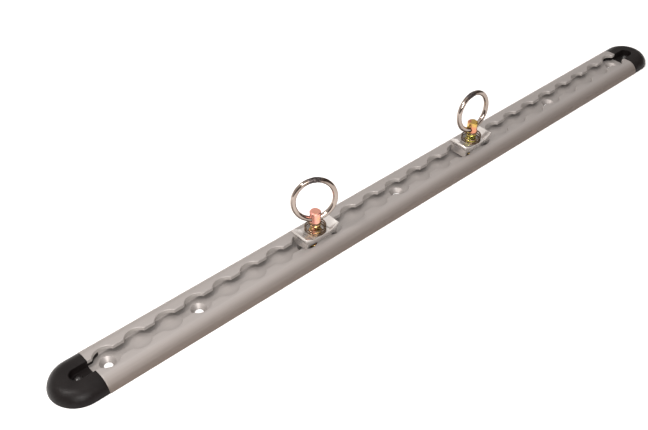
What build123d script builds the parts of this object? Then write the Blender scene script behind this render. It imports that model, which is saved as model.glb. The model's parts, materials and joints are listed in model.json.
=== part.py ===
from build123d import *

import os
from math import cos, pi, sin, sqrt

os.makedirs("parts", exist_ok=True)

# Surface-mounted tie-down track with moulded end caps and two single-stud ring fittings.
# All sizes in millimetres. Origin at the middle of the track's underside:
# +X runs along the track, +Z is up, and the track is symmetric about the XZ plane.

# ---------------------------------------------------------------- driving dimensions
hole_pitch = 25.4  # one inch pitch of the track holes
hole_count = 24
rail_length = 608.0
rail_height = 9.8
flat_half_width = 11.0  # flat top, to each side of the centre line
shoulder_radius = 10.6  # rounded sides below the flat top

floor_height = 3.4  # top of the channel floor
lip_thickness = 3.0
slot_width = 11.0
channel_width = 21.2
track_hole_radius = 10.0
lip_edge_break = 0.4
channel_corner_radius = 0.5

screw_hole_radius = 3.25
countersink_radius = 6.1
screw_hole_numbers = (1, 4, 8, 12, 16, 20, 24)

cap_straight = 11.0  # length of cap before its rounded end
cap_wall = 2.4
cap_hollow_height = 5.8  # of the deep hollow round the slot
cap_hollow_inset = 7.2  # from the cap's outside to the deep hollow
cap_tongue_length = 11.0
cap_tongue_inset = 0.9  # from the side of the slot
cap_tongue_clearance = 0.3  # to the side of the channel
cap_rivet_radius = 1.9
cap_rivet_head_radius = 3.4
cap_rivet_head_height = 2.4

foot_radius = 9.5
foot_height = 2.8
foot_clearance = 0.3  # under the lips
neck_radius = 5.0
shank_radius = 4.1
head_radius = 4.5
head_bottom = 13.6  # heights of the stud are above the track's top
head_top = 23.4
eye_height = 16.7
eye_radius = 2.7
shank_bead_height = 10.6
shank_bead_radius = 4.35
eye_mouth = 0.3  # easing of the eye's mouths
spring_groove_radius = 3.8
spring_groove_height = 1.4

ring_radius = 16.85  # to the middle of the wire
ring_wire_radius = 2.2
ring_weld_radius = 2.4
ring_weld_angle = 16.0

plate_width = 16.5
plate_thickness = 4.6
plate_half_length = 15.3
plate_leg_thickness = 2.3
plate_leg_depth = 4.4
plate_grip_root = 8.5  # where a finger grip leaves the top of the plate
plate_grip_tip = 16.4
plate_grip_height = 8.8
plate_grip_bend = 1.4  # the outside bends outwards this far below the top
plate_grip_thickness = (1.1, 1.0)  # across its tip, outwards and down
plate_root_fillet = 1.5
plate_foot_fillet = 0.5
plate_tip_fillet = 0.35
plate_bore_radius = 5.4

spring_wire_radius = 0.55
spring_large_radius = 8.1
spring_small_radius = 4.45
spring_start = 213.0  # direction of its lower end, in degrees
spring_pitch = 2.5
spring_bottom_turns = 0.5  # lying flat on the plate
spring_wide_turns = 2.3  # where it starts to close in
spring_closed_turns = 3.1  # where it has closed in to the shank
spring_turns = 3.85

running_gap = 0.05

# Each fitting: name, middle of the slot that holds it counted in holes, play taken up along
# the slot, turn of the stud about its own axis, and lean of the ring off upright (degrees).
fittings = (
    ("a", 8.5, -1.9, -24.0, 8.0),
    ("b", 15.5, 2.1, -1.8, 5.0),
)

# ---------------------------------------------------------------- worked-out dimensions
half_rail = rail_length / 2
base_half_width = flat_half_width + sqrt(
    shoulder_radius**2 - (shoulder_radius - rail_height) ** 2
)
lip_underside = rail_height - lip_thickness
cap_centre = half_rail + cap_straight


def hole_x(number):
    """Position along the track of a hole, or of a slot between holes, counted from 1."""
    return (number - (hole_count + 1) / 2) * hole_pitch


def save(piece, name):
    """Label a finished piece and write its STEP file."""
    piece.part.label = name
    export_step(piece.part, f"parts/{name}.step")
    print(f"{name}: {piece.part.volume:.0f} mm3, {len(piece.part.solids())} solid(s)")


def half_outline():
    """Right half of the track's outside, drawn across X and up Y, to add to a sketch."""
    with BuildSketch() as outline:
        with BuildLine():
            Line((0, 0), (0, rail_height))
            Line((0, rail_height), (flat_half_width, rail_height))
            RadiusArc(
                (flat_half_width, rail_height), (base_half_width, 0), shoulder_radius
            )
            Line((base_half_width, 0), (0, 0))
        make_face()
    return outline.sketch


# ---------------------------------------------------------------- extruded track
with BuildPart() as rail:
    with BuildSketch(Plane.YZ):
        add(half_outline())
        mirror(about=Plane.YZ)
        with Locations((0, (floor_height + lip_underside) / 2)):
            RectangleRounded(
                channel_width,
                lip_underside - floor_height,
                channel_corner_radius,
                mode=Mode.SUBTRACT,
            )
        with Locations((0, rail_height)):
            Rectangle(slot_width, 2 * lip_thickness + 1, mode=Mode.SUBTRACT)
    extrude(amount=half_rail, both=True)

    # round holes that let a stud's foot in, milled through the lips only
    with BuildSketch(Plane.XY.offset(lip_underside)):
        with GridLocations(hole_pitch, 0, hole_count, 1):
            Circle(track_hole_radius)
    extrude(amount=lip_thickness, mode=Mode.SUBTRACT)

    slot_rim = (
        rail.edges()
        .filter_by_position(Axis.Z, rail_height - 0.01, rail_height + 0.01)
        .filter_by(lambda e: abs(e.center().Y) < track_hole_radius)
        .filter_by(lambda e: abs(e.center().X) < half_rail - 0.01)
    )
    chamfer(slot_rim, lip_edge_break)

    # countersunk holes that screw the track down, through the channel floor
    with BuildSketch(Plane.XY) as screw_holes:
        with Locations(*[(hole_x(number), 0) for number in screw_hole_numbers]):
            Circle(screw_hole_radius)
    extrude(amount=floor_height, mode=Mode.SUBTRACT)
    screw_rim = (
        rail.edges()
        .filter_by(GeomType.CIRCLE)
        .filter_by_position(Axis.Z, floor_height - 0.01, floor_height + 0.01)
        .filter_by(lambda e: abs(e.radius - screw_hole_radius) < 0.01)
    )
    chamfer(screw_rim, countersink_radius - screw_hole_radius)
save(rail, "rail_extrusion")


# ---------------------------------------------------------------- moulded end caps
def make_end_cap(side):
    """D-shaped cap that carries the track's outside on round its end; side is -1 or 1."""
    end = side * half_rail
    with BuildPart() as cap:
        with BuildSketch(Plane.YZ.offset(end)):
            add(half_outline())
            mirror(about=Plane.YZ)
        extrude(amount=side * cap_straight)
        with BuildSketch(Plane.YZ.offset(side * cap_centre)):
            add(half_outline())
        revolve(
            axis=Axis((side * cap_centre, 0, 0), (0, 0, 1)), revolution_arc=-side * 180
        )

        # the track's slot runs on into the cap and ends round, deep as the channel floor
        with BuildSketch(Plane.XY.offset(floor_height)):
            with Locations((side * cap_centre, 0)):
                Circle(slot_width / 2)
            with Locations((side * (half_rail + cap_straight / 2), 0)):
                Rectangle(cap_straight, slot_width)
        extrude(amount=rail_height, mode=Mode.SUBTRACT)

        # moulded hollow underneath: a shallow one all over and a deep one round the slot
        for radius, inner, depth in (
            (base_half_width - cap_wall, 0, floor_height - cap_wall),
            (base_half_width - cap_hollow_inset, slot_width / 2 + cap_wall, cap_hollow_height),
        ):
            with BuildSketch(Plane.XY):
                with Locations((side * cap_centre, 0)):
                    Circle(radius)
                with Locations((side * (cap_centre + half_rail + cap_wall) / 2, 0)):
                    Rectangle(cap_straight - cap_wall, 2 * radius)
                with Locations((side * (half_rail + cap_wall - radius), 0)):
                    Rectangle(2 * radius, 2 * radius, mode=Mode.SUBTRACT)
                if inner:
                    with Locations((side * cap_centre, 0)):
                        Circle(inner, mode=Mode.SUBTRACT)
                    with Locations((side * half_rail, 0)):
                        Rectangle(2 * cap_straight, 2 * inner, mode=Mode.SUBTRACT)
                else:
                    with Locations((side * cap_centre, 0)):
                        Circle(cap_rivet_head_radius, mode=Mode.SUBTRACT)
            extrude(amount=depth, mode=Mode.SUBTRACT)

        # two tongues that plug into the channel under the lips, hollowed to clear the last hole
        tongue_inner = slot_width / 2 + cap_tongue_inset
        tongue_outer = channel_width / 2 - cap_tongue_clearance
        tongue_middle = (tongue_inner + tongue_outer) / 2
        with BuildSketch(Plane.XY.offset(floor_height + running_gap)):
            with Locations((end, tongue_middle), (end, -tongue_middle)):
                SlotOverall(2 * cap_tongue_length, tongue_outer - tongue_inner)
            with Locations((side * hole_x(hole_count), 0)):
                Circle(track_hole_radius + 2 * running_gap, mode=Mode.SUBTRACT)
            with Locations((side * (half_rail + cap_tongue_length / 2 + 1), 0)):
                Rectangle(cap_tongue_length, channel_width, mode=Mode.SUBTRACT)
        extrude(amount=lip_underside - floor_height - 2 * running_gap)

        # hole for the rivet, through the floor of the slot
        with Locations((side * cap_centre, 0, 0)):
            Cylinder(cap_rivet_radius + running_gap, 2 * floor_height + 1, mode=Mode.SUBTRACT)
    return cap


def make_cap_rivet(side):
    """Dome-headed push rivet at the round end of a cap's slot."""
    tip_height = 0.4
    tip_taper = 0.4
    dome_radius = (cap_rivet_head_radius**2 + cap_rivet_head_height**2) / (
        2 * cap_rivet_head_height
    )
    dome_top = floor_height + cap_rivet_head_height
    with BuildPart() as rivet:
        with BuildSketch(Plane.XZ):
            with BuildLine():
                Polyline(
                    (0, dome_top),
                    (0, tip_height),
                    (cap_rivet_radius - tip_taper, tip_height),
                    (cap_rivet_radius, tip_height + tip_taper),
                    (cap_rivet_radius, floor_height),
                    (cap_rivet_head_radius, floor_height),
                )
                RadiusArc(
                    (cap_rivet_head_radius, floor_height), (0, dome_top), -dome_radius
                )
            make_face()
        revolve(axis=Axis.Z)
    rivet.part = rivet.part.moved(Location((side * cap_centre, 0, 0)))
    return rivet


for side, end_name in ((-1, "left"), (1, "right")):
    save(make_end_cap(side), f"end_cap_{end_name}")
    save(make_cap_rivet(side), f"cap_rivet_{end_name}")


# ---------------------------------------------------------------- ring fittings
def make_stud(middle, turn):
    """Turned stud: foot under the lips, neck in the slot, shank, and head with an eye."""
    top = rail_height
    bevel = 0.6
    step = 0.2
    foot_top = lip_underside - foot_clearance
    foot_bottom = foot_top - foot_height
    neck_top = top + plate_thickness + 0.4
    bead = top + shank_bead_height
    groove_top = top + head_bottom
    groove_bottom = groove_top - spring_groove_height
    crown = top + head_top
    with BuildPart() as stud:
        with BuildSketch(Plane.XZ):
            with BuildLine():
                Polyline(
                    (0, foot_bottom),
                    (foot_radius - bevel, foot_bottom),
                    (foot_radius, foot_bottom + bevel),
                    (foot_radius, foot_top - bevel),
                    (foot_radius - bevel, foot_top),
                    (neck_radius, foot_top),
                    (neck_radius, neck_top - step),
                    (neck_radius - step, neck_top),
                    (shank_radius, neck_top),
                    (shank_radius, bead - step),
                    (shank_bead_radius, bead),
                    (shank_radius, bead + step),
                    (shank_radius, groove_bottom),
                    (spring_groove_radius, groove_bottom),
                    (spring_groove_radius, groove_top),
                    (head_radius, groove_top),
                    (head_radius, crown - bevel),
                    (head_radius - bevel, crown),
                    (0, crown),
                    close=True,
                )
            make_face()
        revolve(axis=Axis.Z)
        # cross-hole that the ring swings in, with its mouths eased
        before = stud.edges()
        with Locations(Location((0, 0, top + eye_height), (0, 0, turn))):
            Cylinder(
                eye_radius, 4 * head_radius, rotation=(0, 90, 0), mode=Mode.SUBTRACT
            )
        mouths = (stud.edges() - before).filter_by(GeomType.LINE, reverse=True)
        chamfer(mouths, eye_mouth)
    stud.part = stud.part.moved(Location((middle, 0, 0)))
    return stud


def make_locking_plate(middle):
    """Sprung plate with a leg down into each neighbouring hole and two finger grips."""
    top = rail_height
    upper = top + plate_thickness
    leg_inside = plate_half_length - plate_leg_thickness
    leg_bottom = top - plate_leg_depth
    tip_out, tip_down = plate_grip_thickness
    with BuildPart() as plate:
        with BuildSketch(Plane.XZ):
            with BuildLine():
                Polyline(
                    (0, top),
                    (leg_inside, top),
                    (leg_inside, leg_bottom),
                    (plate_half_length, leg_bottom),
                    (plate_half_length, upper - plate_grip_bend),
                    (plate_grip_tip + tip_out, top + plate_grip_height - tip_down),
                    (plate_grip_tip, top + plate_grip_height),
                    (plate_grip_root, upper),
                    (0, upper),
                    close=True,
                )
            make_face()
            mirror(about=Plane.YZ)
        extrude(amount=plate_width / 2, both=True)
        roots = plate.edges().filter_by(
            lambda e: abs(abs(e.center().X) - plate_grip_root) < 0.1
            and abs(e.center().Z - upper) < 0.1
            and abs(e.center().Y) < 0.1
        )
        fillet(roots, plate_root_fillet)
        feet = plate.edges().filter_by(Axis.Y)
        fillet(feet.filter_by(lambda e: e.center().Z < leg_bottom + 0.1), plate_foot_fillet)
        tips = plate.edges().filter_by(Axis.Y)
        fillet(
            tips.filter_by(lambda e: e.center().Z > top + plate_grip_height - 2 * tip_down),
            plate_tip_fillet,
        )
        with Locations((0, 0, top + plate_thickness / 2)):
            Cylinder(plate_bore_radius, 2 * plate_thickness, mode=Mode.SUBTRACT)
    plate.part = plate.part.moved(Location((middle, 0, 0)))
    return plate


def make_ring(middle, turn, lean):
    """Round wire ring through the stud's eye, butt-welded at the top."""
    along = Vector(cos(turn * pi / 180), sin(turn * pi / 180), 0)
    across = Vector(-along.Y, along.X, 0)
    up = across * sin(lean * pi / 180) + Vector(0, 0, cos(lean * pi / 180))
    # the wire curves through the straight eye, so it hangs half its bow below the middle
    bow = ring_radius - sqrt(ring_radius**2 - head_radius**2)
    eye = Vector(middle, 0, rail_height + eye_height)
    centre = eye + up * (ring_radius - bow / 2)
    hub = Axis(centre, along.cross(up))
    half_weld = ring_weld_angle / 2 * pi / 180
    weld_side = up * cos(half_weld) + along * sin(half_weld)
    with BuildPart() as ring:
        with BuildSketch(Plane(origin=centre, x_dir=up, z_dir=along)):
            with Locations((-ring_radius, 0)):
                Circle(ring_wire_radius)
        revolve(axis=hub)
        with BuildSketch(Plane(origin=centre, x_dir=weld_side, z_dir=hub.direction.cross(weld_side))):
            with Locations((ring_radius, 0)):
                Circle(ring_weld_radius)
        revolve(axis=hub, revolution_arc=ring_weld_angle)
    return ring


def ease(fraction):
    """Blend from 0 to 1, level at both ends."""
    held = min(max(fraction, 0), 1)
    return held * held * (3 - 2 * held)


def make_spring(middle):
    """Wire spring: wide turns on the plate, closing in to snap under the stud's head."""
    low = rail_height + plate_thickness + spring_wire_radius + running_gap
    high = rail_height + head_bottom - spring_wire_radius - running_gap
    steps_per_turn = 12
    points = []
    for step in range(round(spring_turns * steps_per_turn) + 1):
        turns = step / steps_per_turn
        angle = (spring_start + 360 * turns) * pi / 180
        closing = ease(
            (turns - spring_wide_turns) / (spring_closed_turns - spring_wide_turns)
        )
        climbing = min(max(turns - spring_bottom_turns, 0), spring_wide_turns)
        wide_height = low + spring_pitch * climbing
        radius = spring_large_radius + (spring_small_radius - spring_large_radius) * closing
        height = wide_height + (high - wide_height) * closing
        points.append((middle + radius * cos(angle), radius * sin(angle), height))
    with BuildPart() as spring:
        with BuildLine() as coil:
            Spline(*points)
        with BuildSketch(Plane(origin=coil.line @ 0, z_dir=coil.line % 0)):
            Circle(spring_wire_radius)
        sweep(path=coil.line)
    return spring


for letter, slot_number, play, turn, lean in fittings:
    middle = hole_x(slot_number) + play
    save(make_stud(middle, turn), f"stud_{letter}")
    save(make_locking_plate(middle), f"locking_plate_{letter}")
    save(make_ring(middle, turn, lean), f"ring_{letter}")
    save(make_spring(middle), f"spring_{letter}")
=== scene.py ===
import json
import math

import bmesh
import bpy
from mathutils import Matrix, Vector


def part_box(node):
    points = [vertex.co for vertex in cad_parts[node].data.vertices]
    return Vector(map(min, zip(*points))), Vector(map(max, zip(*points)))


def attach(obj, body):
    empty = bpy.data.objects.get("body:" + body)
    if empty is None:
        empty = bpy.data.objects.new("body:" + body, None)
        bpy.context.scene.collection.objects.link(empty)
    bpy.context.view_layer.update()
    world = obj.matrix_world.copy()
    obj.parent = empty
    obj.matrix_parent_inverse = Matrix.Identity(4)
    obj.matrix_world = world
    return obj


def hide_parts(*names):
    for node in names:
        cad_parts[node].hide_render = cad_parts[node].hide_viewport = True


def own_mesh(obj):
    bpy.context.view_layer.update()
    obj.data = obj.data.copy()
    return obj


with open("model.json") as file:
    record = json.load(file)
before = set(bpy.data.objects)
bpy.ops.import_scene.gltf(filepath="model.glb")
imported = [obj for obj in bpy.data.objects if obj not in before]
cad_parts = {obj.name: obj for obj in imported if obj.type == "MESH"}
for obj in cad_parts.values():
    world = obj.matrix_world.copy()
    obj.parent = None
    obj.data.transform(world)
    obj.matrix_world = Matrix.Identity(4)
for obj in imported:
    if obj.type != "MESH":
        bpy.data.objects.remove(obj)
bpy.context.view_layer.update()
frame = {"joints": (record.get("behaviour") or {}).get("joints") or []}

MM = 0.001

# ------------------------------------------------------------------ sizes, in millimetres
PITCH = 25.4
HOLES = 24
FLAT_HALF = 11.0
SHOULDER_R = 10.6
FLOOR_Z = 3.4
LIP = 3.0
SLOT_HALF = 5.5
CHANNEL_HALF = 10.6
HOLE_R = 10.0
LIP_BREAK = 0.4
SCREW_R = 3.25
SINK_R = 6.1
SCREW_HOLES = (1, 4, 8, 12, 16, 20, 24)
CAP_STRAIGHT = 11.0
CAP_WALL = 2.4
CAP_HOLLOW = 5.8
CAP_HOLLOW_INSET = 7.2
CAP_SINK = 0.14  # the cap sits this much lower than the track's outside
TONGUE_LENGTH = 11.0
TONGUE_ROOT = 0.6  # how far a tongue starts inside the cap
TONGUE_INSET = 0.9  # from the side of the slot
TONGUE_SIDE_GAP = 0.3  # to the side of the channel
TONGUE_GAP = 0.05  # above and below a tongue
TONGUE_EDGE = 0.12
RIVET_R = 1.9
RIVET_TIP_R = 1.5
RIVET_TIP_Z = 0.4
FOOT_GAP = 0.3  # under the lips
CHANNEL_CORNER = 0.5
RIVET_HEAD_R = 3.4
RIVET_HEAD_H = 2.4

rail_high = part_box("rail_extrusion")[1]
RAIL_HALF = rail_high.x / MM
TOP = rail_high.z / MM
BASE_HALF = rail_high.y / MM
SHOULDER_Z = TOP - SHOULDER_R
LIP_UNDER = TOP - LIP
CAP_CENTRE = RAIL_HALF + CAP_STRAIGHT

# heights above the track's top
PLATE_T = 4.6
PLATE_HALF = 15.3
LEG_T = 2.3
LEG_D = 4.4
GRIP_ROOT = 8.5
GRIP_TIP = 16.4
GRIP_H = 8.8
PLATE_BORE = 5.4
FOOT_R = 9.5
FOOT_H = 2.8
NECK_R = 5.0
SHANK_R = 4.1
HEAD_R = 4.5
HEAD_BOTTOM = 13.6
HEAD_TOP = 23.4
EYE_H = 16.7
EYE_R = 2.7
GROOVE_R = 3.8
GROOVE_H = 1.4
BEAD_H = 10.6
RING_R = 16.85
RING_WIRE = 2.2
SPRING_WIRE = 0.55
SPRING_WIDE = 8.1
SPRING_CLOSED = 4.45
SPRING_START = 213.0
SPRING_PITCH = 2.5
SPRING_FLAT_TURNS = 0.5
SPRING_WIDE_TURNS = 2.3
SPRING_CLOSED_TURNS = 3.1
SPRING_TURNS = 3.85


# ------------------------------------------------------------------ mesh helpers
def mesh_object(name, verts, faces):
    """A new object from points in millimetres and faces, welded, with outward normals."""
    mesh = bpy.data.meshes.new(name)
    mesh.from_pydata([tuple(c * MM for c in v) for v in verts], [], faces)
    bm = bmesh.new()
    bm.from_mesh(mesh)
    bmesh.ops.remove_doubles(bm, verts=bm.verts, dist=2e-6)
    bmesh.ops.dissolve_degenerate(bm, edges=bm.edges, dist=1e-7)
    bmesh.ops.recalc_face_normals(bm, faces=bm.faces)
    bm.to_mesh(mesh)
    bm.free()
    obj = bpy.data.objects.new(name, mesh)
    bpy.context.scene.collection.objects.link(obj)
    return obj


def grid_faces(rows, cols, start=0, close_rows=False, close_cols=False):
    """Quads between points stored row after row."""
    faces = []
    for i in range(rows if close_rows else rows - 1):
        for j in range(cols if close_cols else cols - 1):
            a = start + i * cols + j
            b = start + i * cols + (j + 1) % cols
            c = start + (i + 1) % rows * cols + (j + 1) % cols
            d = start + (i + 1) % rows * cols + j
            faces.append((a, b, c, d))
    return faces


def lathe(name, profile, segments, centre=(0, 0, 0)):
    """A turned piece: profile is (radius, height) from the bottom of the axis to its top."""
    verts = []
    for r, z in profile:
        for k in range(segments):
            a = 2 * math.pi * k / segments
            verts.append((centre[0] + r * math.cos(a), centre[1] + r * math.sin(a), centre[2] + z))
    faces = grid_faces(len(profile), segments, close_cols=True)
    return mesh_object(name, verts, faces)


def rounded(points, radii, steps=4):
    """The polyline through points with each inner corner rounded to its radius."""
    out = [points[0]]
    for k in range(1, len(points) - 1):
        p, a, b = Vector(points[k]), Vector(points[k - 1]), Vector(points[k + 1])
        r = radii[k] if isinstance(radii, (list, tuple)) else radii
        u, v = (a - p), (b - p)
        if r <= 0 or u.length < 1e-6 or v.length < 1e-6:
            out.append(tuple(p))
            continue
        half = u.angle(v) / 2
        back = r / math.tan(half)
        limit = 0.49 * min(u.length, v.length)
        if back > limit:
            back = limit
            r = back * math.tan(half)
        u.normalize()
        v.normalize()
        start, end = p + u * back, p + v * back
        centre = p + (u + v).normalized() * (r / math.sin(half))
        a0 = math.atan2(start.y - centre.y, start.x - centre.x)
        a1 = math.atan2(end.y - centre.y, end.x - centre.x)
        turn = (a1 - a0 + math.pi) % (2 * math.pi) - math.pi
        for s in range(steps + 1):
            t = a0 + turn * s / steps
            out.append((centre.x + r * math.cos(t), centre.y + r * math.sin(t)))
    out.append(points[-1])
    return out


def cut(obj, cutter):
    """Takes cutter's volume out of obj and removes it."""
    mod = obj.modifiers.new("cut", "BOOLEAN")
    mod.operation = "DIFFERENCE"
    mod.solver = "EXACT"
    mod.object = cutter
    apply_modifiers(obj)
    data = cutter.data
    bpy.data.objects.remove(cutter)
    bpy.data.meshes.remove(data)


def apply_modifiers(obj):
    """Replaces the object's mesh by what its modifiers make of it."""
    graph = bpy.context.evaluated_depsgraph_get()
    made = bpy.data.meshes.new_from_object(obj.evaluated_get(graph))
    old = obj.data
    obj.modifiers.clear()
    obj.data = made
    bpy.data.meshes.remove(old)


def soften(obj, width, angle=35, segments=3):
    """Rounds the sharp edges by width, in millimetres."""
    mod = obj.modifiers.new("soften", "BEVEL")
    mod.width = width * MM
    mod.segments = segments
    mod.limit_method = "ANGLE"
    mod.angle_limit = math.radians(angle)
    mod.use_clamp_overlap = True
    apply_modifiers(obj)


def finish_piece(obj, body, node, material, angle=32):
    """Shades a piece, gives it its material and hangs it on its CAD body in place of a node."""
    mesh = obj.data
    mesh.polygons.foreach_set("use_smooth", [True] * len(mesh.polygons))
    mesh.set_sharp_from_angle(angle=math.radians(angle))
    mesh.materials.clear()
    mesh.materials.append(material)
    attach(obj, body)
    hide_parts(node)
    return obj


# ------------------------------------------------------------------ material helpers
class Nodes:
    """Short names for building one node tree."""

    def __init__(self, name):
        self.material = bpy.data.materials.new(name)
        self.material.use_nodes = True
        self.tree = self.material.node_tree
        self.tree.nodes.clear()
        self.out = self.tree.nodes.new("ShaderNodeOutputMaterial")
        self.bsdf = self.tree.nodes.new("ShaderNodeBsdfPrincipled")
        self.link(self.bsdf.outputs[0], self.out.inputs["Surface"])
        self.coords = self.tree.nodes.new("ShaderNodeTexCoord").outputs["Object"]

    def link(self, a, b):
        self.tree.links.new(a, b)

    def set(self, **values):
        for key, value in values.items():
            self.bsdf.inputs[key.replace("_", " ")].default_value = value

    def scaled(self, scale, turn=(0, 0, 0)):
        node = self.tree.nodes.new("ShaderNodeMapping")
        node.inputs["Scale"].default_value = scale
        node.inputs["Rotation"].default_value = turn
        self.link(self.coords, node.inputs["Vector"])
        return node.outputs[0]

    def noise(self, vector, scale, detail=3.0, rough=0.5, distortion=0.0):
        node = self.tree.nodes.new("ShaderNodeTexNoise")
        node.inputs["Scale"].default_value = scale
        node.inputs["Detail"].default_value = detail
        node.inputs["Roughness"].default_value = rough
        node.inputs["Distortion"].default_value = distortion
        self.link(vector, node.inputs["Vector"])
        return node.outputs["Fac"]

    def ramp(self, value, *stops, smooth=False):
        node = self.tree.nodes.new("ShaderNodeValToRGB")
        if smooth:
            node.color_ramp.interpolation = "EASE"
        elements = node.color_ramp.elements
        while len(elements) < len(stops):
            elements.new(0.5)
        for element, (at, colour) in zip(elements, stops):
            element.position = at
            if not hasattr(colour, "__len__"):
                colour = (colour, colour, colour)
            element.color = (*colour, 1)
        self.link(value, node.inputs["Fac"])
        return node.outputs["Color"]

    def math(self, operation, a, b=0.0, c=0.0, clamp=False):
        node = self.tree.nodes.new("ShaderNodeMath")
        node.operation = operation
        node.use_clamp = clamp
        for socket, value in zip(node.inputs, (a, b, c)):
            if isinstance(value, (int, float)):
                socket.default_value = value
            else:
                self.link(value, socket)
        return node.outputs[0]

    def mix(self, factor, a, b, blend="MIX"):
        node = self.tree.nodes.new("ShaderNodeMix")
        node.data_type = "RGBA"
        node.blend_type = blend
        for index, value in ((0, factor), (6, a), (7, b)):
            socket = node.inputs[index]
            if isinstance(value, (int, float)):
                socket.default_value = value
            elif isinstance(value, tuple):
                socket.default_value = (*value, 1)
            else:
                self.link(value, socket)
        return node.outputs[2]

    def axis(self, index, vector=None):
        node = self.tree.nodes.new("ShaderNodeSeparateXYZ")
        self.link(vector or self.coords, node.inputs[0])
        return node.outputs[index]

    def bump(self, height, strength, distance):
        node = self.tree.nodes.new("ShaderNodeBump")
        node.inputs["Strength"].default_value = strength
        node.inputs["Distance"].default_value = distance
        self.link(height, node.inputs["Height"])
        self.link(node.outputs[0], self.bsdf.inputs["Normal"])

    def feed(self, name, value):
        self.link(value, self.bsdf.inputs[name])


# ------------------------------------------------------------------ materials
def anodised_track():
    n = Nodes("anodised_track")
    streak = n.noise(n.scaled((18, 900, 900)), 1.0, 4, 0.6)
    broad = n.noise(n.coords, 14.0, 3, 0.5)
    speck = n.noise(n.coords, 2600.0, 2, 0.6)
    tone = n.math("ADD", n.math("MULTIPLY", streak, 0.45), n.math("MULTIPLY", broad, 0.55))
    colour = n.ramp(tone, (0.32, (0.286, 0.264, 0.252)), (0.68, (0.314, 0.292, 0.280)))
    side = n.math("ABSOLUTE", n.axis(1))
    # Painted shade: from 12.5 mm out from the middle line, the outside's colour darkens and warms towards
    # the base, unevenly through the broad noise, standing for the shading that falls on the lower shoulder.
    low = n.math("DIVIDE", n.math("SUBTRACT", side, 0.0125), 0.008, clamp=True)
    uneven_shade = n.math("ADD", n.math("MULTIPLY", broad, 0.3), 0.85)
    colour = n.mix(n.math("MULTIPLY", low, uneven_shade), colour, (0.66, 0.61, 0.57), "MULTIPLY")
    # Painted shade: a further darkening over the last 1.7 mm out to the base edge.
    skirt_shade = n.math("DIVIDE", n.math("SUBTRACT", side, 0.0195), 0.0017, clamp=True)
    colour = n.mix(skirt_shade, colour, (0.66, 0.62, 0.59), "MULTIPLY")
    # Painted light: upright faces inside the slot above the floor, the lip walls, are mixed half way to a
    # lighter grey, standing for the light they catch.
    normal = n.tree.nodes.new("ShaderNodeNewGeometry").outputs["Normal"]
    upright = n.math("SUBTRACT", 0.85, n.math("ABSOLUTE", n.axis(2, normal)))
    painted_wall_light = n.math("DIVIDE", upright, 0.3, clamp=True)
    in_slot = n.math("LESS_THAN", side, FLAT_HALF * MM)
    over_floor = n.math("GREATER_THAN", n.axis(2), (FLOOR_Z + 0.3) * MM)
    painted_wall_light = n.math("MULTIPLY", n.math("MULTIPLY", painted_wall_light, in_slot), n.math("MULTIPLY", over_floor, 0.5))
    colour = n.mix(painted_wall_light, colour, (0.66, 0.63, 0.60))
    n.feed("Base Color", colour)
    n.feed("Roughness", n.math("ADD", n.math("MULTIPLY", streak, 0.12), 0.42))
    n.set(Metallic=0.55)
    fine = n.math("ADD", n.math("MULTIPLY", streak, 0.7), n.math("MULTIPLY", speck, 0.3))
    n.bump(fine, 0.22, 0.00006)
    return n.material


def black_cap():
    n = Nodes("black_cap")
    grain = n.noise(n.coords, 1500.0, 3, 0.6)
    cloud = n.noise(n.coords, 90.0, 3, 0.5)
    n.feed("Base Color", n.ramp(cloud, (0.3, (0.0050, 0.0038, 0.0037)), (0.7, (0.0088, 0.0070, 0.0068))))
    n.feed("Roughness", n.math("ADD", n.math("MULTIPLY", grain, 0.3), 0.2))
    n.set(Specular_IOR_Level=0.12)
    n.bump(grain, 0.7, 0.0002)
    return n.material


def black_rivet():
    n = Nodes("black_rivet")
    grain = n.noise(n.coords, 900.0, 2, 0.5)
    n.feed("Base Color", n.ramp(grain, (0.3, (0.012, 0.011, 0.011)), (0.7, (0.02, 0.018, 0.018))))
    n.feed("Roughness", n.math("ADD", n.math("MULTIPLY", grain, 0.1), 0.22))
    n.bump(grain, 0.15, 0.00005)
    return n.material


def passivated(name, stops, shank_stops, shade):
    """Iridescent plating: colours run into each other, and the shank differs from the head."""
    n = Nodes(name)
    patch = n.noise(n.scaled((1, 1, 0.8)), 150.0, 2, 0.45, 0.6)
    above = n.math("SUBTRACT", n.axis(2), (TOP + HEAD_BOTTOM) * MM)
    head = n.math("ADD", n.math("DIVIDE", above, 0.003), patch, clamp=True)
    colour = n.ramp(patch, *stops, smooth=True)
    shank = n.ramp(patch, *shank_stops, smooth=True)
    colour = n.mix(head, shank, colour)
    turned = n.noise(n.scaled((250, 250, 9000)), 1.0, 3, 0.5)
    colour = n.mix(n.math("MULTIPLY", turned, 0.25), colour, shade, "MULTIPLY")
    n.feed("Base Color", colour)
    n.feed("Roughness", n.math("ADD", n.math("MULTIPLY", turned, 0.14), 0.17))
    n.set(Metallic=1.0)
    n.bump(turned, 0.18, 0.00004)
    return n.material


def plated_plate():
    n = Nodes("plated_plate")
    brushed = n.noise(n.scaled((2200, 160, 160)), 1.0, 3, 0.55)
    cloud = n.noise(n.coords, 120.0, 3, 0.5)
    n.feed("Base Color", n.ramp(cloud, (0.3, (0.46, 0.43, 0.41)), (0.72, (0.56, 0.53, 0.505))))
    n.feed("Roughness", n.math("ADD", n.math("MULTIPLY", brushed, 0.12), 0.13))
    n.set(Metallic=0.7)
    n.bump(n.math("ADD", n.math("MULTIPLY", brushed, 0.4), cloud), 0.08, 0.00012)
    return n.material


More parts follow.
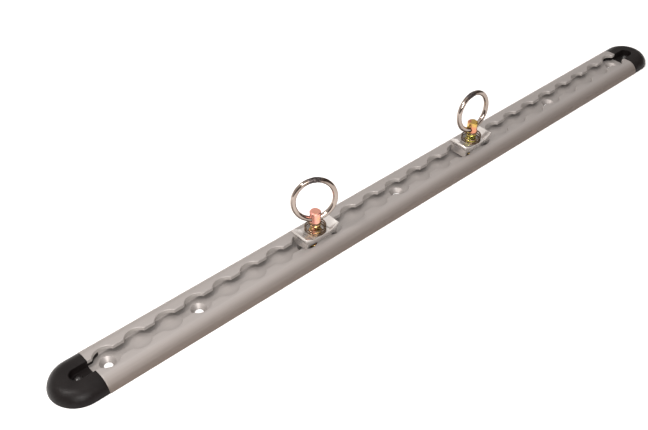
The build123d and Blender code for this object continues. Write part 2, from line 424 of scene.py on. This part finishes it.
def nickel_ring(name, centre, along, up, weld_at, weld_half):
    """Polished nickel wire with a scorched, rough weld and painted dark reflection streaks beside it;
    weld_at is its angle from the top.
    """
    n = Nodes(name)
    moved = n.tree.nodes.new("ShaderNodeVectorMath")
    moved.operation = "SUBTRACT"
    n.link(n.coords, moved.inputs[0])
    moved.inputs[1].default_value = centre

    def component(direction):
        dot = n.tree.nodes.new("ShaderNodeVectorMath")
        dot.operation = "DOT_PRODUCT"
        n.link(moved.outputs[0], dot.inputs[0])
        dot.inputs[1].default_value = direction
        return dot.outputs["Value"]

    angle = n.math("ARCTAN2", component(along), component(up))
    ragged = n.noise(n.coords, 420.0, 4, 0.65)
    off = n.math("ABSOLUTE", n.math("SUBTRACT", angle, weld_at))
    off = n.math("ADD", off, n.math("MULTIPLY", n.math("SUBTRACT", ragged, 0.5), 0.22))
    weld = n.math("DIVIDE", n.math("SUBTRACT", weld_half + 0.05, off), 0.10, clamp=True)
    speck = n.noise(n.coords, 900.0, 3, 0.7)
    scorch = n.ramp(speck, (0.35, (0.012, 0.010, 0.011)), (0.66, (0.13, 0.11, 0.105)))
    # Painted reflection: dark brown streaks either side of the weld, broken up by noise, stand for
    # reflections of dark surroundings in the polished wire.
    streak_noise = n.noise(n.coords, 210.0, 3, 0.55, 0.4)
    painted_dark_streaks = n.math("DIVIDE", n.math("SUBTRACT", weld_half + 0.45, off), 0.45, clamp=True)
    painted_dark_streaks = n.math("MULTIPLY", painted_dark_streaks, n.math("DIVIDE", n.math("SUBTRACT", streak_noise, 0.40), 0.14, clamp=True))
    tint = n.noise(n.coords, 60.0, 2, 0.5)
    plate = n.ramp(tint, (0.3, (0.26, 0.212, 0.183)), (0.7, (0.36, 0.305, 0.27)))
    plate = n.mix(painted_dark_streaks, plate, (0.10, 0.075, 0.06))
    n.feed("Base Color", n.mix(weld, plate, scorch))
    smooth_rough = n.math("ADD", n.math("MULTIPLY", tint, 0.05), 0.075)
    n.feed("Roughness", n.math("ADD", smooth_rough, n.math("MULTIPLY", weld, 0.30)))
    n.set(Metallic=1.0)
    ripple = n.noise(n.coords, 160.0, 2, 0.5)
    height = n.math("ADD", n.math("MULTIPLY", ripple, 0.15), n.math("MULTIPLY", weld, speck))
    n.bump(height, 0.35, 0.00025)
    return n.material


def spring_steel():
    n = Nodes("spring_wire")
    drawn = n.noise(n.coords, 700.0, 3, 0.5)
    tint = n.noise(n.coords, 130.0, 2, 0.5)
    n.feed("Base Color", n.ramp(tint, (0.3, (0.085, 0.055, 0.035)), (0.7, (0.20, 0.14, 0.095))))
    n.feed("Roughness", n.math("ADD", n.math("MULTIPLY", drawn, 0.12), 0.14))
    n.set(Metallic=1.0)
    n.bump(drawn, 0.12, 0.00004)
    return n.material


TRACK_MAT = anodised_track()
CAP_MAT = black_cap()
RIVET_MAT = black_rivet()
PLATE_MAT = plated_plate()
SPRING_MAT = spring_steel()
STUD_MATS = {
    "a": passivated(
        "pink_passivated",
        (
            (0.24, (0.62, 0.42, 0.12)),
            (0.36, (0.74, 0.36, 0.27)),
            (0.60, (0.78, 0.35, 0.30)),
            (0.84, (0.55, 0.46, 0.16)),
        ),
        (
            (0.34, (0.40, 0.38, 0.10)),
            (0.50, (0.78, 0.55, 0.22)),
            (0.66, (0.70, 0.33, 0.22)),
        ),
        (0.80, 0.72, 0.66),
    ),
    "b": passivated(
        "yellow_passivated",
        (
            (0.28, (0.40, 0.36, 0.08)),
            (0.42, (0.60, 0.40, 0.10)),
            (0.56, (0.62, 0.41, 0.13)),
            (0.66, (0.62, 0.26, 0.16)),
        ),
        (
            (0.34, (0.34, 0.36, 0.09)),
            (0.52, (0.62, 0.50, 0.14)),
            (0.70, (0.66, 0.38, 0.20)),
        ),
        (0.80, 0.74, 0.60),
    ),
}


# ------------------------------------------------------------------ track
def hole_x(number):
    return (number - (HOLES + 1) / 2) * PITCH


def lip_stations():
    """Where the lip's edge is followed: ("arc", hole, share) or ("run", from, to, share)."""
    stations = []
    arc_steps, run_steps = 22, 4
    for n in range(0, HOLES + 1):
        for k in range(run_steps + 1):
            stations.append(("run", n, k / run_steps))
        if n < HOLES:
            for k in range(1, arc_steps):
                stations.append(("arc", n + 1, k / arc_steps))
    return stations


def corner_offset(inset):
    """Distance along the track from a hole's centre to where its edge meets the slot's."""
    return math.sqrt((HOLE_R + inset) ** 2 - (SLOT_HALF + inset) ** 2)


def lip_point(station, inset):
    """(x, y) of the lip's edge, moved back into the lip by inset."""
    kind, number, share = station
    if kind == "arc":
        first = math.asin((SLOT_HALF + inset) / (HOLE_R + inset))
        a = first + share * (math.pi - 2 * first)
        return (
            hole_x(number) - (HOLE_R + inset) * math.cos(a),
            (HOLE_R + inset) * math.sin(a),
        )
    reach = corner_offset(inset)
    start = -RAIL_HALF if number == 0 else hole_x(number) + reach
    end = RAIL_HALF if number == HOLES else hole_x(number + 1) - reach
    return start + share * (end - start), SLOT_HALF + inset


def outside(s, inset=0.0):
    """(y, z) on the track's outside at distance s past the end of its flat top."""
    if s <= 0:
        return FLAT_HALF + s, TOP - inset
    a = s / SHOULDER_R
    r = SHOULDER_R - inset
    return FLAT_HALF + r * math.sin(a), SHOULDER_Z + r * math.cos(a)


def past_flat(y):
    return y - FLAT_HALF if y <= FLAT_HALF else SHOULDER_R * math.asin((y - FLAT_HALF) / SHOULDER_R)


OUTSIDE_END = SHOULDER_R * math.acos(-SHOULDER_Z / SHOULDER_R)


def track_section(station, inset):
    """Half cross-section from the middle of the floor round to the underside, as (x, y, z)."""
    points = []
    x, edge = lip_point(station, 0)
    points += [(x, 0.0, FLOOR_Z), (x, 4.9, FLOOR_Z), (x, 9.8, FLOOR_Z)]
    for k in range(4):
        a = math.pi / 2 * k / 3
        y = CHANNEL_HALF - CHANNEL_CORNER * (1 - math.sin(a))
        points.append((x, y, FLOOR_Z + CHANNEL_CORNER * (1 - math.cos(a))))
    points += [(x, CHANNEL_HALF, LIP_UNDER - 0.1), (x, CHANNEL_HALF - 0.1, LIP_UNDER)]
    points.append((x, edge, LIP_UNDER))
    points.append((x, edge, LIP_UNDER + 0.12))
    steps = 4
    for k in range(steps + 1):
        a = math.pi / 2 * k / steps
        px, py = lip_point(station, LIP_BREAK * (1 - math.cos(a)))
        points.append((px, py, TOP - LIP_BREAK * (1 - math.sin(a)) - inset))
    first = past_flat(py)
    join = past_flat(HOLE_R + LIP_BREAK + 1.2)
    near = 6
    for k in range(1, near + 1):
        share = k / near
        y, z = outside(first + share * (join - first), inset)
        points.append((px + (x - px) * share, y, z))
    far = 18
    for k in range(1, far + 1):
        y, z = outside(join + (OUTSIDE_END - join) * k / far, inset)
        points.append((x, y, max(z, 0.0)))
    points += [(x, BASE_HALF - 0.8, 0.0), (x, 0.0, 0.0)]
    return points


def build_track():
    stations = lip_stations()
    ends = []
    edge_round = 0.32
    for k in range(4):
        a = math.pi / 2 * k / 3
        ends.append((edge_round * (1 - math.sin(a)), edge_round * (1 - math.cos(a))))
    sections = []
    for station in stations:
        sections.append((station, None, 0.0))
    first, last = stations[0], stations[-1]
    left = [(first, -RAIL_HALF + back, drop) for drop, back in ends[:-1]]
    right = [(last, RAIL_HALF - back, drop) for drop, back in reversed(ends[:-1])]
    sections[0] = (first, -RAIL_HALF + edge_round, 0.0)
    sections[-1] = (last, RAIL_HALF - edge_round, 0.0)
    verts, cols = [], 0
    for station, at, drop in left + sections + right:
        half = track_section(station, drop)
        if at is not None:
            half = [(at, y, z) for _, y, z in half]
        loop = half + [(x, -y, z) for x, y, z in reversed(half[1:-1])]
        cols = len(loop)
        verts += loop
    rows = len(verts) // cols
    faces = grid_faces(rows, cols, close_cols=True)
    faces.append(tuple(range(cols)))
    faces.append(tuple((rows - 1) * cols + k for k in range(cols)))
    obj = mesh_object("track_extrusion", verts, faces)
    for number in SCREW_HOLES:
        straight = FLOOR_Z - (SINK_R - SCREW_R)
        profile = [(0, -1), (SCREW_R, -1), (SCREW_R, straight), (SINK_R, FLOOR_Z)]
        profile += [(SINK_R + 0.35, FLOOR_Z + 0.12), (SINK_R + 1.2, FLOOR_Z + 0.8), (0, FLOOR_Z + 0.8)]
        cut(obj, lathe("cutter", profile, 72, (hole_x(number), 0, 0)))
    return obj


finish_piece(build_track(), "track", "rail_extrusion", TRACK_MAT)


# ------------------------------------------------------------------ end caps
def cap_section(drop):
    """(distance from the middle line, height) from the slot's floor over the top to the base."""
    wall_round = 0.35
    top = TOP - CAP_SINK - drop
    points = [(0.0, FLOOR_Z), (2.6, FLOOR_Z), (SLOT_HALF - 0.4, FLOOR_Z)]
    for k in range(1, 4):
        a = math.pi / 2 * k / 3
        points.append((SLOT_HALF - 0.4 + 0.4 * math.sin(a), FLOOR_Z + 0.4 * (1 - math.cos(a))))
    for k in range(4):
        a = math.pi / 2 * k / 3
        points.append((SLOT_HALF + wall_round * (1 - math.cos(a)), top - wall_round * (1 - math.sin(a))))
    start = past_flat(SLOT_HALF + wall_round)
    steps = 26
    for k in range(1, steps + 1):
        y, z = outside(start + (OUTSIDE_END - start) * k / steps, CAP_SINK + drop)
        points.append((y, max(z, 0.25)))
    rim = points[-1][0]
    points += [(rim - 0.08, 0.08), (rim - 0.3, 0.0), (0.0, 0.0)]
    return points


def d_prism(name, side, radius, z0, z1, inner=0.0):
    """Cutter for a cap's hollow: a D from behind the cap's end wall to its rounded end."""
    start = RAIL_HALF + CAP_WALL
    outline = [(start, -radius), (CAP_CENTRE, -radius)]
    for k in range(1, 48):
        a = -math.pi / 2 + math.pi * k / 48
        outline.append((CAP_CENTRE + radius * math.cos(a), radius * math.sin(a)))
    outline += [(CAP_CENTRE, radius), (start, radius)]
    if inner:
        outline += [(start, inner), (CAP_CENTRE, inner)]
        for k in range(1, 32):
            a = math.pi / 2 - math.pi * k / 32
            outline.append((CAP_CENTRE + inner * math.cos(a), inner * math.sin(a)))
        outline += [(CAP_CENTRE, -inner), (start, -inner)]
    count = len(outline)
    verts = [(side * x, y, z) for z in (z0, z1) for x, y in outline]
    faces = grid_faces(2, count, close_cols=True)
    faces += [tuple(range(count)), tuple(range(count, 2 * count))]
    return mesh_object(name, verts, faces)


def build_cap(side, name):
    path = []
    round_steps = 3
    edge = 0.2
    for k in range(round_steps + 1):
        a = math.pi / 2 * k / round_steps
        path.append((edge * (1 - math.cos(a)), edge * (1 - math.sin(a))))
    path += [(CAP_STRAIGHT * share, 0.0) for share in (0.25, 0.5, 0.75)]
    sections = []
    for along, drop in path:
        sections.append((RAIL_HALF + along, 0.0, 1.0, drop))
    arc_steps = 72
    for k in range(arc_steps + 1):
        a = math.pi / 2 - math.pi * k / arc_steps
        sections.append((CAP_CENTRE, math.cos(a), math.sin(a), 0.0))
    for along, drop in reversed(path):
        sections.append((RAIL_HALF + along, 0.0, -1.0, drop))
    verts, cols = [], 0
    for x, ex, ey, drop in sections:
        line = cap_section(drop)
        cols = len(line)
        verts += [(side * (x + ex * r), ey * r, z) for r, z in line]
    rows = len(sections)
    faces = grid_faces(rows, cols)
    faces.append(tuple(range(cols)))
    faces.append(tuple((rows - 1) * cols + k for k in range(cols)))
    obj = mesh_object(name, verts, faces)
    cut(obj, d_prism("cutter", side, BASE_HALF - CAP_HOLLOW_INSET, -1.0, CAP_HOLLOW, SLOT_HALF + CAP_WALL))
    cut(obj, d_prism("cutter", side, BASE_HALF - CAP_WALL, -1.0, FLOOR_Z - CAP_WALL, RIVET_HEAD_R + 0.0001))
    add_tongues(obj, side)
    return obj


def add_tongues(obj, side):
    """The two tongues that go into the track's channel, hollowed round the last hole."""
    low, high = FLOOR_Z + TONGUE_GAP, LIP_UNDER - TONGUE_GAP
    inner, outer = SLOT_HALF + TONGUE_INSET, CHANNEL_HALF - TONGUE_SIDE_GAP
    root = RAIL_HALF + TONGUE_ROOT
    last = hole_x(HOLES)
    clear = HOLE_R + 0.1
    bm = bmesh.new()
    bm.from_mesh(obj.data)
    for mirror in (1, -1):
        line = []
        steps = 10
        for k in range(steps + 1):
            y = inner + (outer - inner) * k / steps
            reach = last + math.sqrt(max(clear**2 - y**2, 0.6))
            line.append((max(reach, RAIL_HALF - TONGUE_LENGTH + 0.2), y))
        outline = line + [(root, outer), (root, inner)]
        loops = []
        edge = TONGUE_EDGE
        for z, shrink in ((low, edge), (low + edge, 0), (high - edge, 0), (high, edge)):
            loop = []
            for x, y in outline:
                loop.append(bm.verts.new((side * (x + shrink) * MM, mirror * y * MM, z * MM)))
            loops.append(loop)
        count = len(outline)
        for a, b in zip(loops, loops[1:]):
            for k in range(count):
                bm.faces.new((a[k], a[(k + 1) % count], b[(k + 1) % count], b[k]))
        bm.faces.new(loops[0])
        bm.faces.new(loops[-1])
    bmesh.ops.recalc_face_normals(bm, faces=bm.faces)
    bm.to_mesh(obj.data)
    bm.free()


def build_rivet(side, name):
    ball = (RIVET_HEAD_R**2 + RIVET_HEAD_H**2) / (2 * RIVET_HEAD_H)
    profile = [(0, RIVET_TIP_Z), (RIVET_TIP_R, RIVET_TIP_Z), (RIVET_R, 2 * RIVET_TIP_Z)]
    profile += [(RIVET_R, FLOOR_Z), (RIVET_HEAD_R - 0.1, FLOOR_Z)]
    profile.append((RIVET_HEAD_R, FLOOR_Z + 0.12))
    full = math.asin(RIVET_HEAD_R / ball)
    steps = 14
    for k in range(1, steps):
        a = full * (1 - k / steps)
        profile.append((ball * math.sin(a), FLOOR_Z + RIVET_HEAD_H - ball * (1 - math.cos(a))))
    top = profile[-1][1]
    profile += [(0.35, top - 0.05), (0, top - 0.12)]
    return lathe(name, profile, 48, (side * CAP_CENTRE, 0, 0))


for side, end in ((-1, "left"), (1, "right")):
    cap = build_cap(side, f"cap_{end}")
    finish_piece(cap, "track", f"end_cap_{end}", CAP_MAT)
    rivet = build_rivet(side, f"push_rivet_{end}")
    finish_piece(rivet, "track", f"cap_rivet_{end}", RIVET_MAT)


# ------------------------------------------------------------------ ring fittings
def stud_patch(sign, rows):
    """Side of the head round one mouth of the eye, as rows of points from the mouth out."""
    low, high = HEAD_BOTTOM + 0.25 - EYE_H, HEAD_TOP - 0.6 - EYE_H
    quarter = HEAD_R * math.pi / 2
    wide, tall = 32, 14
    rim = [(-quarter + 2 * quarter * k / wide, high) for k in range(wide)]
    rim += [(quarter, high - (high - low) * k / tall) for k in range(tall)]
    rim += [(quarter - 2 * quarter * k / wide, low) for k in range(wide)]
    rim += [(-quarter, low + (high - low) * k / tall) for k in range(tall)]
    mouth_round = 0.35
    mouth = EYE_R + mouth_round
    out = []
    for a, h in rim:
        t = math.atan2(h, a)
        s0 = (EYE_R * math.cos(t), EYE_R * math.sin(t))
        x0 = math.sqrt(HEAD_R**2 - s0[0] ** 2) - mouth_round
        column = [(sign * x0 * 0.5, s0[0], s0[1]), (sign * x0, s0[0], s0[1])]
        for k in range(1, 5):
            q = math.pi / 2 * k / 4
            r = EYE_R + mouth_round * (1 - math.cos(q))
            s = (r * math.cos(t), r * math.sin(t))
            surface = math.sqrt(HEAD_R**2 - s[0] ** 2)
            column.append((sign * (surface - mouth_round * (1 - math.sin(q))), s[0], s[1]))
        a0, h0 = HEAD_R * math.asin(mouth * math.cos(t) / HEAD_R), mouth * math.sin(t)
        for k in range(1, rows + 1):
            share = k / rows
            aa, hh = a0 + (a - a0) * share, h0 + (h - h0) * share
            angle = aa / HEAD_R
            column.append((sign * HEAD_R * math.cos(angle), HEAD_R * math.sin(angle), hh))
        out.append(column)
    return out


def build_stud(name, x, turn):
    eye_z = TOP + EYE_H
    verts, faces = [], []
    for sign in (1, -1):
        columns = stud_patch(sign, 7)
        start = len(verts)
        for column in columns:
            verts += [(p[0], p[1], eye_z + p[2]) for p in column]
        faces += grid_faces(len(columns), len(columns[0]), start, close_rows=True)
        if sign == 1:
            first = start
        else:
            depth, count = len(columns[0]), len(columns)
            for j in range(count):
                k = (j + 1) % count
                faces.append((first + j * depth, first + k * depth, start + k * depth, start + j * depth))
    around = 64
    foot_top = LIP_UNDER - FOOT_GAP
    foot_bottom = foot_top - FOOT_H
    neck_top = TOP + PLATE_T + 0.4
    groove_top = TOP + HEAD_BOTTOM
    lower = rounded(
        [
            (0, foot_bottom),
            (FOOT_R, foot_bottom),
            (FOOT_R, foot_top),
            (NECK_R, foot_top),
            (NECK_R, neck_top),
            (SHANK_R, neck_top + 0.1),
            (SHANK_R, TOP + BEAD_H - 0.3),
            (SHANK_R + 0.25, TOP + BEAD_H),
            (SHANK_R, TOP + BEAD_H + 0.3),
            (SHANK_R, groove_top - GROOVE_H),
            (GROOVE_R, groove_top - GROOVE_H - 0.02),
            (GROOVE_R, groove_top),
            (HEAD_R - 0.25, groove_top),
            (HEAD_R, groove_top + 0.25),
        ],
        [0, 0.6, 0.6, 0.3, 0.4, 0.3, 0.1, 0.12, 0.1, 0.15, 0.1, 0.2, 0.1, 0],
    )
    crown = TOP + HEAD_TOP
    upper = rounded(
        [(HEAD_R, crown - 0.6), (HEAD_R - 0.6, crown), (2.2, crown), (1.2, crown - 0.03), (0, crown - 0.03)],
        [0, 0.35, 0, 0.3, 0],
    )
    for profile in (lower, upper):
        start = len(verts)
        for r, z in profile:
            for k in range(around):
                a = -math.pi / 2 + 2 * math.pi * k / around
                verts.append((r * math.cos(a), r * math.sin(a), z))
        faces += grid_faces(len(profile), around, start, close_cols=True)
    c, s = math.cos(turn), math.sin(turn)
    verts = [(x + c * p[0] - s * p[1], s * p[0] + c * p[1], p[2]) for p in verts]
    return mesh_object(name, verts, faces)


def build_plate(name, x):
    upper = TOP + PLATE_T
    leg_in = PLATE_HALF - LEG_T
    leg_low = TOP - LEG_D
    half = [
        (0, TOP),
        (leg_in, TOP),
        (leg_in, leg_low),
        (PLATE_HALF, leg_low),
        (PLATE_HALF, upper - 1.4),
        (GRIP_TIP + 1.1, TOP + GRIP_H - 1.0),
        (GRIP_TIP, TOP + GRIP_H),
        (GRIP_ROOT, upper),
        (0, upper),
    ]
    half = rounded(half, [0, 0.3, 0.35, 0.5, 0.8, 0.3, 0.3, 1.5, 0], 3)
    outline = half + [(-a, z) for a, z in reversed(half[1:-1])]
    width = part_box(name.replace("lock_plate", "locking_plate"))[1].y / MM
    count = len(outline)
    verts = [(x + a, y, z) for y in (-width, width) for a, z in outline]
    faces = grid_faces(2, count, close_cols=True)
    faces += [tuple(range(count)), tuple(range(count, 2 * count))]
    obj = mesh_object(name, verts, faces)
    bore = [(0, TOP - 1), (PLATE_BORE, TOP - 1), (PLATE_BORE, upper + 1), (0, upper + 1)]
    cut(obj, lathe("cutter", bore, 72, (x, 0, 0)))
    soften(obj, 0.28, 50, 3)
    return obj


def tube(name, points, radius, sides, closed=False, swell=None):
    """A round wire along points; open ones get rounded ends. swell gives each point's radius."""
    count = len(points)
    pts = [Vector(p) for p in points]
    tangents = []
    for k in range(count):
        if closed:
            tangents.append((pts[(k + 1) % count] - pts[k - 1]).normalized())
        else:
            tangents.append((pts[min(k + 1, count - 1)] - pts[max(k - 1, 0)]).normalized())
    normal = Vector((0, 0, 1)).cross(tangents[0])
    if normal.length < 1e-3:
        normal = Vector((1, 0, 0))
    normal.normalize()
    rings = []
    for k in range(count):
        normal = (normal - tangents[k] * normal.dot(tangents[k])).normalized()
        rings.append((pts[k], tangents[k], normal.copy(), swell[k] if swell else radius))
    if not closed:
        head, tail = [], []
        for q in (0.12, 0.5, 0.87):
            r = radius * math.sin(math.pi / 2 * q)
            back = radius * 0.6 * math.cos(math.pi / 2 * q)
            p, t, n, _ = rings[0]
            head.append((p - t * (back - radius * 0.6), t, n, r))
            p, t, n, _ = rings[-1]
            tail.append((p + t * (back - radius * 0.6), t, n, r))
        rings = head + rings[2:-2] + tail[::-1]
    verts = []
    for p, t, n, r in rings:
        b = t.cross(n)
        for j in range(sides):
            a = 2 * math.pi * j / sides
            verts.append(tuple(p + (n * math.cos(a) + b * math.sin(a)) * r))
    faces = grid_faces(len(rings), sides, close_rows=closed, close_cols=True)
    if not closed:
        faces.append(tuple(range(sides)))
        faces.append(tuple((len(rings) - 1) * sides + j for j in range(sides)))
    return mesh_object(name, verts, faces)


def build_ring(name, centre, along, up, weld_at, weld_half):
    steps = 240
    points, swell = [], []
    for k in range(steps):
        a = 2 * math.pi * k / steps
        points.append(tuple(centre + (along * math.sin(a) + up * math.cos(a)) * RING_R))
        off = (a - weld_at + math.pi) % (2 * math.pi) - math.pi
        bead = math.exp(-((off / (weld_half * 0.42)) ** 4))
        flash = 0.05 * math.sin(9 * off / weld_half) + 0.03 * math.sin(23 * off + 1)
        swell.append(RING_WIRE + bead * (0.10 + flash) * 0.9)
    return tube(name, points, RING_WIRE, 40, closed=True, swell=swell)


def ease(f):
    f = min(max(f, 0), 1)
    return f * f * (3 - 2 * f)


def build_spring(name, x):
    low = TOP + PLATE_T + SPRING_WIRE + 0.05
    high = TOP + HEAD_BOTTOM - SPRING_WIRE - 0.05
    steps = 44
    points = []
    for k in range(round(SPRING_TURNS * steps) + 1):
        turns = k / steps
        a = math.radians(SPRING_START + 360 * turns)
        closing = ease((turns - SPRING_WIDE_TURNS) / (SPRING_CLOSED_TURNS - SPRING_WIDE_TURNS))
        climb = min(max(turns - SPRING_FLAT_TURNS, 0), SPRING_WIDE_TURNS)
        wide = low + SPRING_PITCH * climb
        r = SPRING_WIDE + (SPRING_CLOSED - SPRING_WIDE) * closing
        points.append((x + r * math.cos(a), r * math.sin(a), wide + (high - wide) * closing))
    return tube(name, points, SPRING_WIRE, 14)


joints = {j["name"]: j for j in frame["joints"]}
WELDS = {"a": (math.radians(2), math.radians(17)), "b": (math.radians(-12), math.radians(15))}
for letter in ("a", "b"):
    swing = joints[f"ring_swing_{letter}"]
    eye = Vector(swing["pos_m"]) / MM
    along = Vector(swing["axis"]).normalized()
    turn = math.atan2(along.y, along.x)
    ring_low, ring_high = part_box(f"ring_{letter}")
    centre = Vector(((ring_low.x + ring_high.x) / 2, (ring_low.y + ring_high.y) / 2, 0)) / MM
    across = Vector((-along.y, along.x, 0))
    bow = RING_R - math.sqrt(RING_R**2 - HEAD_R**2)
    reach = RING_R - bow / 2
    lean = math.asin((centre - Vector((eye.x, eye.y, 0))).dot(across) / reach)
    up = across * math.sin(lean) + Vector((0, 0, math.cos(lean)))
    centre = eye + up * reach
    stud = build_stud(f"turned_stud_{letter}", eye.x, turn)
    finish_piece(stud, f"stud_{letter}", f"stud_{letter}", STUD_MATS[letter])
    plate = build_plate(f"lock_plate_{letter}", eye.x)
    finish_piece(plate, f"plate_{letter}", f"locking_plate_{letter}", PLATE_MAT)
    weld_at, weld_half = WELDS[letter]
    ring_mat = nickel_ring(f"nickel_{letter}", centre * MM, along, up, weld_at, weld_half)
    ring = build_ring(f"wire_ring_{letter}", centre, along, up, weld_at, weld_half)
    finish_piece(ring, f"ring_{letter}", f"ring_{letter}", ring_mat)
    spring = build_spring(f"coil_spring_{letter}", eye.x)
    finish_piece(spring, f"stud_{letter}", f"spring_{letter}", SPRING_MAT)
    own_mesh(spring)


# ------------------------------------------------------------------ camera
CAMERA_PLACE = (-0.4695, -0.4123, 0.4922)
CAMERA_LENS = 52.24
YAW, PITCH_DOWN, ROLL = (math.radians(a) for a in (47.710, 40.018, 0.425))
ahead = Vector((math.cos(YAW), math.sin(YAW), 0)) * math.cos(PITCH_DOWN)
forward = ahead - Vector((0, 0, math.sin(PITCH_DOWN)))
level = Vector((math.sin(YAW), -math.cos(YAW), 0))
upward = level.cross(forward)
right = level * math.cos(ROLL) + upward * math.sin(ROLL)
upward = upward * math.cos(ROLL) - level * math.sin(ROLL)
camera_data = bpy.data.cameras.new("camera")
camera_data.sensor_width = 36.0
camera_data.lens = CAMERA_LENS
camera = bpy.data.objects.new("camera", camera_data)
bpy.context.scene.collection.objects.link(camera)
turned = Matrix((right, upward, -forward)).transposed()
camera.matrix_world = Matrix.Translation(CAMERA_PLACE) @ turned.to_4x4()
bpy.context.scene.camera = camera


# ------------------------------------------------------------------ floor and light
BRIGHT_SIDE = (math.cos(math.radians(110)), math.sin(math.radians(110)), 0)
WORLD_SIDES = (
    (0.02, (0.13, 0.108, 0.10)),
    (0.30, (0.14, 0.117, 0.106)),
    (0.56, (0.22, 0.20, 0.19)),
    (0.66, (0.46, 0.435, 0.42)),
    (0.80, (0.68, 0.65, 0.63)),
)
WORLD_TOP = (1.0, 0.975, 0.955)
WORLD_TOP_SHARE = ((0.55, (0, 0, 0)), (0.88, (1, 1, 1)))
WORLD_STRENGTH = 1.45


def make_floor():
    half = 3.0
    mesh = bpy.data.meshes.new("floor")
    z = -0.0003
    corners = [(-half, -half, z), (half, -half, z), (half, half, z), (-half, half, z)]
    mesh.from_pydata(corners, [], [(0, 1, 2, 3)])
    floor = bpy.data.objects.new("floor", mesh)
    bpy.context.scene.collection.objects.link(floor)
    material = bpy.data.materials.new("floor")
    material.use_nodes = True
    bsdf = material.node_tree.nodes["Principled BSDF"]
    bsdf.inputs["Base Color"].default_value = (0.93, 0.93, 0.93, 1)
    bsdf.inputs["Roughness"].default_value = 0.9
    bsdf.inputs["Specular IOR Level"].default_value = 0.1
    mesh.materials.append(material)


def make_world():
    """Studio surroundings: bright overhead and behind, darker low down and in front."""
    world = bpy.data.worlds.new("studio")
    bpy.context.scene.world = world
    world.use_nodes = True
    tree = world.node_tree
    background = tree.nodes["Background"]
    coords = tree.nodes.new("ShaderNodeTexCoord").outputs["Generated"]
    split = tree.nodes.new("ShaderNodeSeparateXYZ")
    tree.links.new(coords, split.inputs[0])
    towards = tree.nodes.new("ShaderNodeVectorMath")
    towards.operation = "DOT_PRODUCT"
    tree.links.new(coords, towards.inputs[0])
    towards.inputs[1].default_value = BRIGHT_SIDE

    def ramp(value, stops):
        node = tree.nodes.new("ShaderNodeValToRGB")
        while len(node.color_ramp.elements) < len(stops):
            node.color_ramp.elements.new(0.5)
        for element, (at, colour) in zip(node.color_ramp.elements, stops):
            element.position = at
            element.color = (*colour, 1)
        tree.links.new(value, node.inputs["Fac"])
        return node.outputs["Color"]

    half = tree.nodes.new("ShaderNodeMath")
    half.operation = "MULTIPLY_ADD"
    tree.links.new(towards.outputs["Value"], half.inputs[0])
    half.inputs[1].default_value = 0.5
    half.inputs[2].default_value = 0.5
    sides = ramp(half.outputs[0], WORLD_SIDES)
    share = ramp(split.outputs["Z"], WORLD_TOP_SHARE)
    mix = tree.nodes.new("ShaderNodeMix")
    mix.data_type = "RGBA"
    tree.links.new(share, mix.inputs[0])
    tree.links.new(sides, mix.inputs[6])
    mix.inputs[7].default_value = (*WORLD_TOP, 1)
    tree.links.new(mix.outputs[2], background.inputs["Color"])
    background.inputs["Strength"].default_value = WORLD_STRENGTH


def make_light(name, place, target, size, power, colour=(1, 1, 1)):
    data = bpy.data.lights.new(name, "AREA")
    data.shape = "RECTANGLE"
    data.size, data.size_y = size
    data.energy = power
    data.color = colour
    light = bpy.data.objects.new(name, data)
    bpy.context.scene.collection.objects.link(light)
    light.location = place
    light.rotation_mode = "QUATERNION"
    light.rotation_quaternion = (Vector(target) - Vector(place)).to_track_quat("-Z", "Y")


make_floor()
make_world()
make_light("key", (-0.92, 0.30, 1.35), (-0.315, 0, 0), (0.2, 0.18), 12, (1.0, 0.95, 0.925))
make_light("overhead", (0.25, 0.05, 1.6), (0.2, 0, 0), (1.7, 0.5), 2, (1.0, 0.985, 0.97))
make_light("fill", (-0.75, -0.95, 0.85), (-0.2, 0, 0), (0.6, 0.5), 17, (1.0, 0.98, 0.965))
bpy.context.scene.view_settings.view_transform = "Standard"
